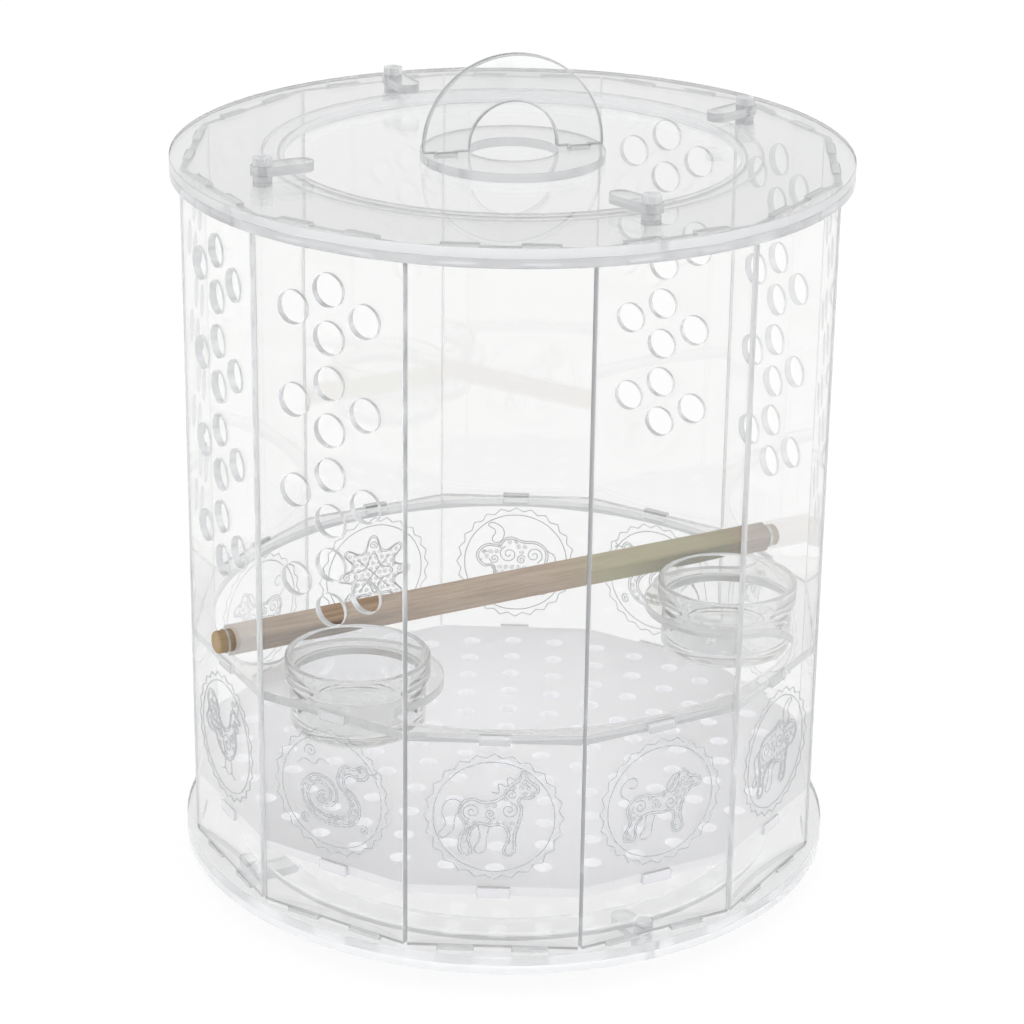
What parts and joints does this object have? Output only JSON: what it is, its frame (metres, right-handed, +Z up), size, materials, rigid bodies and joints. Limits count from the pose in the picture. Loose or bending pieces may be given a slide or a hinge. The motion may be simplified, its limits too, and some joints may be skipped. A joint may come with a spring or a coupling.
{
  "type": "bird cage",
  "caption": "Round clear acrylic bird cage with a pierced floor, a wooden perch, two glass bowls, a lift-off lid with a handle and turning latches.",
  "frame": {"origin": "centre of the cage on the surface that it stands on", "axes": "+Z up along the cage's axis, -Y towards the front wall panel, +X to the right seen from the front"},
  "size_m": [0.35, 0.35, 0.4431],
  "materials": {
    "clear_acrylic": "clear, polished faces and laser-cut edges",
    "latch_acrylic": "clear, polished",
    "frosted_acrylic": "frosted white",
    "perch_wood": "bare, sanded, a little weathered",
    "bowl_glass": "clear, polished"
  },
  "bodies": {
    "cage": {"wall_panel_01": "clear_acrylic", "wall_panel_02": "clear_acrylic", "wall_panel_03": "clear_acrylic", "wall_panel_04": "clear_acrylic", "wall_panel_05": "clear_acrylic", "wall_panel_06": "clear_acrylic", "wall_panel_07": "clear_acrylic", "wall_panel_08": "clear_acrylic", "wall_panel_09": "clear_acrylic", "wall_panel_10": "clear_acrylic", "wall_panel_11": "clear_acrylic", "wall_panel_12": "clear_acrylic", "top_slot_ring": "clear_acrylic", "top_cover_ring": "clear_acrylic", "bottom_slot_ring": "clear_acrylic", "bottom_cover_ring": "clear_acrylic", "shelf_ring": "clear_acrylic", "top_latch_screws": "latch_acrylic", "top_latch_spacers": "latch_acrylic", "top_latch_nuts": "latch_acrylic", "bottom_latch_screws": "latch_acrylic", "bottom_latch_spacers": "latch_acrylic", "bottom_latch_nuts": "latch_acrylic", "floor_grid": "frosted_acrylic", "perch": "perch_wood"},
    "lid": {"lid_plate": "clear_acrylic", "lid_rim": "clear_acrylic", "handle_base": "clear_acrylic", "handle_arch": "clear_acrylic"},
    "bottom_tray": {"bottom_cover": "clear_acrylic"},
    "top_latch_1_body": {"top_latch_1": "latch_acrylic"},
    "top_latch_2_body": {"top_latch_2": "latch_acrylic"},
    "top_latch_3_body": {"top_latch_3": "latch_acrylic"},
    "top_latch_4_body": {"top_latch_4": "latch_acrylic"},
    "bottom_latch_1_body": {"bottom_latch_1": "latch_acrylic"},
    "bottom_latch_2_body": {"bottom_latch_2": "latch_acrylic"},
    "bottom_latch_3_body": {"bottom_latch_3": "latch_acrylic"},
    "bottom_latch_4_body": {"bottom_latch_4": "latch_acrylic"},
    "bowl_left_body": {"bowl_left": "bowl_glass"},
    "bowl_right_body": {"bowl_right": "bowl_glass"}
  },
  "joints": [
    {"name": "lid_lift", "type": "slide", "parent": "cage", "child": "lid", "axis": [0, 0, 1], "range_m": [0, 0.12]},
    {"name": "bottom_cover_drop", "type": "slide", "parent": "cage", "child": "bottom_tray", "axis": [0, 0, -1], "range_m": [0, 0.12]},
    {"name": "top_latch_1_turn", "type": "hinge", "parent": "cage", "child": "top_latch_1_body", "pos_m": [-0.12081, -0.06975, 0.399], "axis": [0, 0, 1], "continuous": true},
    {"name": "top_latch_2_turn", "type": "hinge", "parent": "cage", "child": "top_latch_2_body", "pos_m": [0.06975, -0.12081, 0.399], "axis": [0, 0, 1], "continuous": true},
    {"name": "top_latch_3_turn", "type": "hinge", "parent": "cage", "child": "top_latch_3_body", "pos_m": [0.12081, 0.06975, 0.399], "axis": [0, 0, 1], "continuous": true},
    {"name": "top_latch_4_turn", "type": "hinge", "parent": "cage", "child": "top_latch_4_body", "pos_m": [-0.06975, 0.12081, 0.399], "axis": [0, 0, 1], "continuous": true},
    {"name": "bottom_latch_1_turn", "type": "hinge", "parent": "cage", "child": "bottom_latch_1_body", "pos_m": [-0.1312, -0.07575, 0.0065], "axis": [0, 0, 1], "continuous": true},
    {"name": "bottom_latch_2_turn", "type": "hinge", "parent": "cage", "child": "bottom_latch_2_body", "pos_m": [0.07575, -0.1312, 0.0065], "axis": [0, 0, 1], "continuous": true},
    {"name": "bottom_latch_3_turn", "type": "hinge", "parent": "cage", "child": "bottom_latch_3_body", "pos_m": [0.1312, 0.07575, 0.0065], "axis": [0, 0, 1], "continuous": true},
    {"name": "bottom_latch_4_turn", "type": "hinge", "parent": "cage", "child": "bottom_latch_4_body", "pos_m": [-0.07575, 0.1312, 0.0065], "axis": [0, 0, 1], "continuous": true},
    {"name": "bowl_left_lift", "type": "slide", "parent": "cage", "child": "bowl_left_body", "axis": [0, 0, 1], "range_m": [0, 0.1]},
    {"name": "bowl_right_lift", "type": "slide", "parent": "cage", "child": "bowl_right_body", "axis": [0, 0, 1], "range_m": [0, 0.1]}
  ]
}
